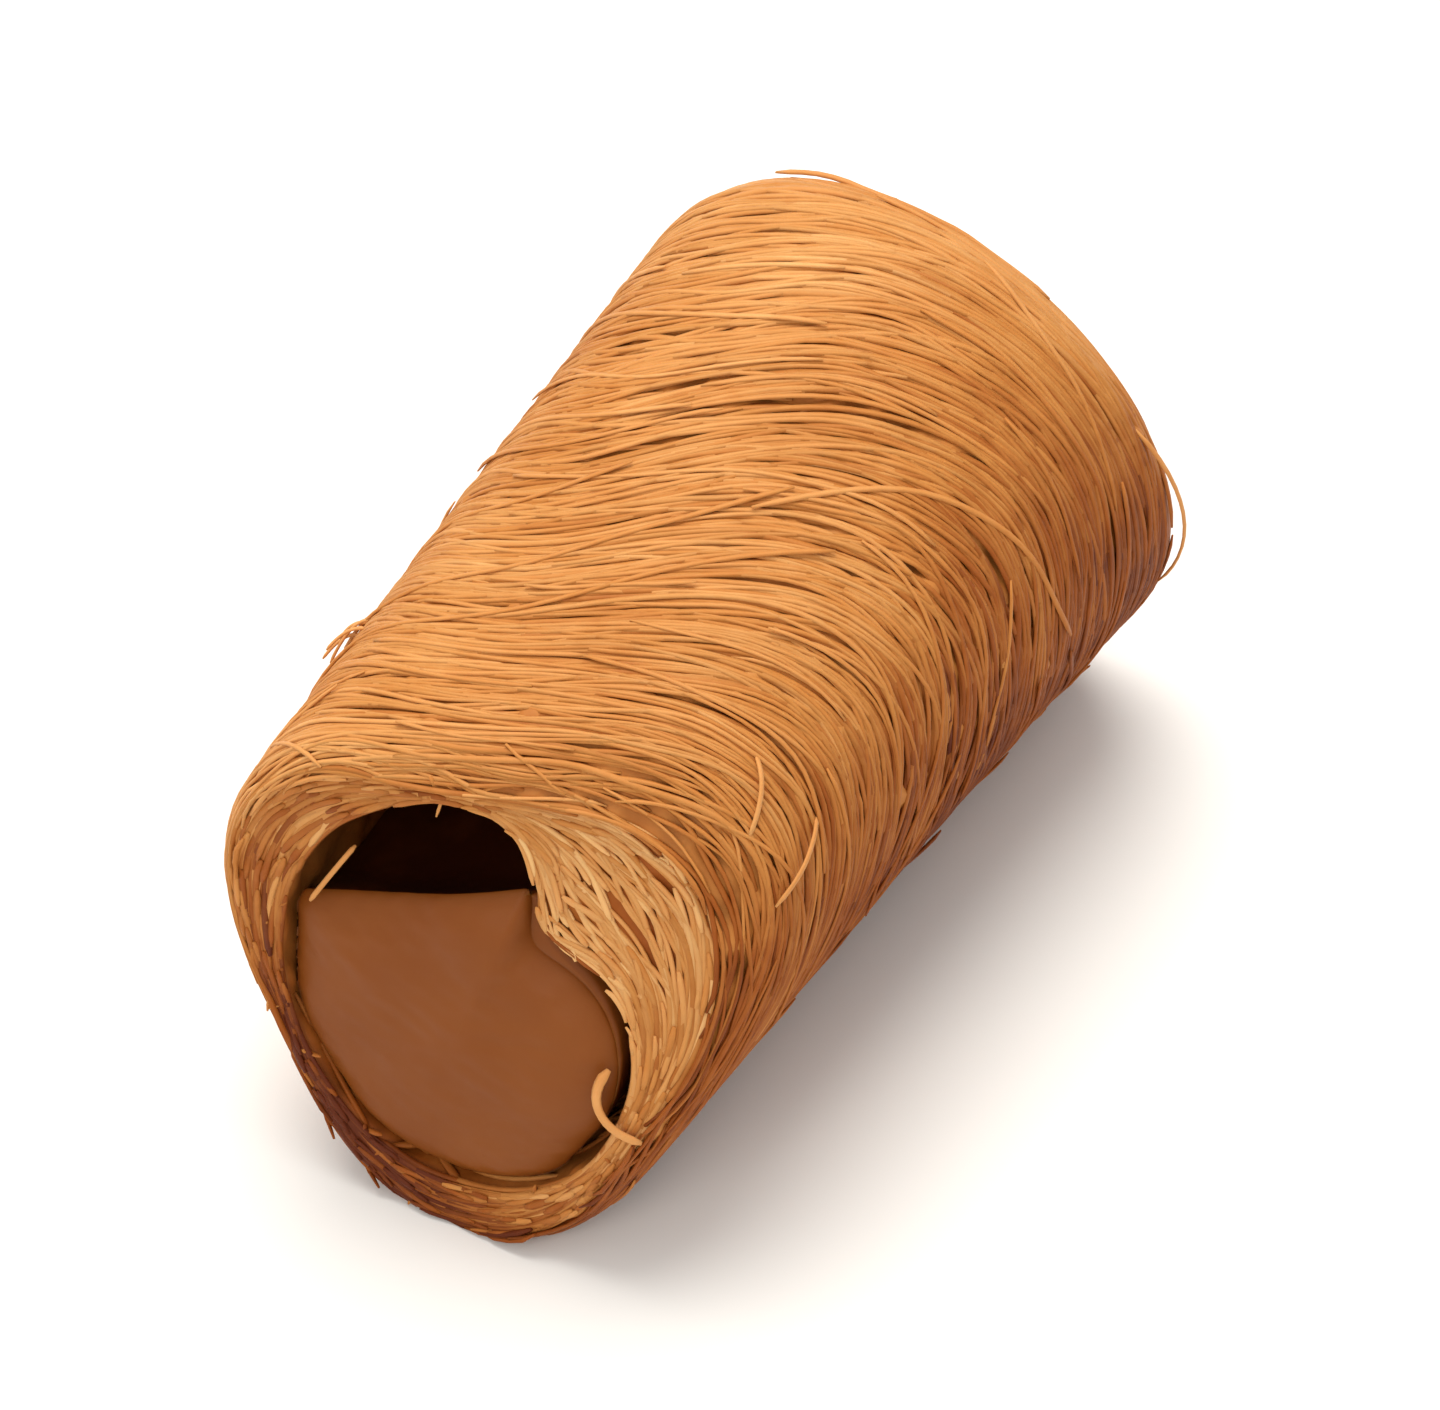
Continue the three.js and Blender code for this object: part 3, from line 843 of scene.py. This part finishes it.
def filling_material():
    """Smooth caramel cream, darker where it lies back in the hollow: painted shade, with darker caramel there
    too.
    """
    material = bpy.data.materials.new("caramel_cream")
    nodes, links = shader(material)
    principled = nodes["Principled BSDF"]
    tone, place = tone_and_place(nodes)
    clouds = scaled(nodes, links, noise_at(nodes, links, place, scale=130, detail=3), low=0.35, high=0.85)
    value = added(nodes, links, clouds, tone)
    links.new(ramp(nodes, links, value, FILLING_COLOURS), principled.inputs["Base Color"])
    rough = scaled(nodes, links, noise_at(nodes, links, place, scale=420, detail=3), low=0.42, high=0.58)
    links.new(rough, principled.inputs["Roughness"])
    grain = noise_at(nodes, links, place, scale=1500, detail=4)
    links.new(bumped(nodes, links, grain, distance=0.00005, strength=0.3), principled.inputs["Normal"])
    principled.inputs["Specular IOR Level"].default_value = 0.2
    principled.inputs["Subsurface Weight"].default_value = 0.1
    principled.inputs["Subsurface Radius"].default_value = (1.0, 0.4, 0.15)
    principled.inputs["Subsurface Scale"].default_value = 0.002
    return material


def floor_material():
    material = bpy.data.materials.new("pale_floor")
    principled = shader(material)[0]["Principled BSDF"]
    principled.inputs["Base Color"].default_value = (*FLOOR_COLOUR, 1)
    principled.inputs["Roughness"].default_value = 0.7
    return material


def dress(piece, material):
    piece.data.materials.append(material)
    return piece


def make_floor():
    half = FLOOR_HALF_WIDTH
    mesh = bpy.data.meshes.new("floor")
    corners = [(-half, -half, 0), (half, -half, 0), (half, half, 0), (-half, half, 0)]
    mesh.from_pydata(corners, [], [(0, 1, 2, 3)])
    floor = bpy.data.objects.new("floor", mesh)
    bpy.context.scene.collection.objects.link(floor)
    mesh.materials.append(floor_material())


def make_camera():
    towards = Vector((
        math.sin(VIEW_AZIMUTH) * math.cos(VIEW_ELEVATION),
        -math.cos(VIEW_AZIMUTH) * math.cos(VIEW_ELEVATION),
        math.sin(VIEW_ELEVATION),
    ))
    data = bpy.data.cameras.new("camera")
    data.lens = VIEW_LENS
    data.sensor_width = SENSOR_WIDTH
    camera = bpy.data.objects.new("camera", data)
    bpy.context.scene.collection.objects.link(camera)
    camera.location = (Vector(AXIS) + AIM) * MM + towards * VIEW_DISTANCE
    camera.rotation_mode = "QUATERNION"
    camera.rotation_quaternion = (-towards).to_track_quat("-Z", "Y") @ Quaternion((0, 0, 1), VIEW_ROLL)
    bpy.context.scene.camera = camera


def make_light(name, direction, distance, size, power, colour):
    data = bpy.data.lights.new(name, "AREA")
    data.shape = "DISK"
    data.size = size
    data.energy = power
    data.color = colour
    light = bpy.data.objects.new(name, data)
    bpy.context.scene.collection.objects.link(light)
    towards = Vector(direction).normalized()
    light.location = towards * distance
    light.rotation_mode = "QUATERNION"
    light.rotation_quaternion = (-towards).to_track_quat("-Z", "Y")


def make_world():
    world = bpy.data.worlds.new("studio")
    bpy.context.scene.world = world
    world.use_nodes = True
    background = world.node_tree.nodes["Background"]
    background.inputs["Color"].default_value = (*WORLD_COLOUR, 1)
    background.inputs["Strength"].default_value = WORLD_STRENGTH


make_camera()
make_floor()
make_world()
make_light("key", (-0.25, 0.45, 1.25), distance=0.9, size=0.8, power=8.5, colour=(1.0, 0.95, 0.88))
make_light("fill", (0.1, -1.0, 0.8), distance=1.0, size=0.6, power=2.5, colour=(1.0, 0.93, 0.84))
bpy.context.scene.view_settings.view_transform = "Standard"

# The outside, layer on layer
outside = Blanket((0, -OVERRUN), (AROUND, ROLL_LENGTH + OVERRUN), place_outside)
under = lay_windings(
    outside, seed=11, count=230, width=(0.5, 0.7), length=(30, 70),
    slant=0.05, press=0.45, tone=0.54, fray=0.2,
)
outer = lay_windings(
    outside, seed=12, count=450, width=(0.36, 0.5), length=(16, 60),
    slant=0.07, press=0.6, tone=0.6, fray=0.35,
)
top = lay_windings(
    outside, seed=13, count=480, width=(0.34, 0.46), length=(12, 60),
    slant=0.08, press=0.6, tone=0.64, fray=0.4,
)
crossing = lay_windings(
    outside, seed=14, count=70, width=(0.3, 0.4), length=(8, 30),
    slant=0.3, press=0.3, tone=0.7, fray=0.6, lift=0.3,
)
for places in LOOSE_STRANDS:
    add_loose_strand(crossing, places)
add_tuft(crossing)

# The cut faces
face_corner = MEAN_RADIUS + FACE_ROOM
front = Blanket((-face_corner, -face_corner), (face_corner, face_corner), place_on_front)
back = Blanket((-face_corner, -face_corner), (face_corner, face_corner), place_on_back)
layers = {"count": 320, "width": (0.34, 0.52), "turn_length": (0.5, 1.8), "press": 0.3, "tone": 0.44}
stubs = {"count": 40, "width": (0.28, 0.4), "length": (0.4, 1.0), "tone": 0.46}
front_layers = lay_cut_layers(front, 0, seed=21, **layers)
back_layers = lay_cut_layers(back, 1, seed=22, **layers)
cut_stubs(front_layers, front, 0, seed=23, **stubs)
cut_stubs(back_layers, back, 1, seed=24, **stubs)
add_face_strand(front_layers, CURL, CURL_WIDTH)
add_face_strand(front_layers, SLANTED_STRAND, LOOSE_WIDTH)

# The wall of the bore, whose darker lining tone is painted shade
bore = Blanket((0, -OVERRUN), (FULL_TURN * BORE_HALF_HEIGHT, ROLL_LENGTH + OVERRUN), place_in_bore)
lining = lay_bore_lining(
    bore, seed=31, count=300, width=(0.4, 0.65), length=(6, 22), press=0.3, tone=SHADED_LINING_TONE
)

pastry = pastry_material()
pieces = [
    under.finished("threads_under"),
    outer.finished("threads_outer"),
    top.finished("threads_top"),
    crossing.finished("threads_crossing"),
    front_layers.finished("threads_front_cut"),
    back_layers.finished("threads_back_cut"),
    lining.finished("threads_in_bore"),
    pastry_core(),
]
for piece in pieces:
    dress(piece, pastry)
    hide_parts("pastry_roll")
cream = dress(cream_filling(), filling_material())
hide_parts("cream_filling")
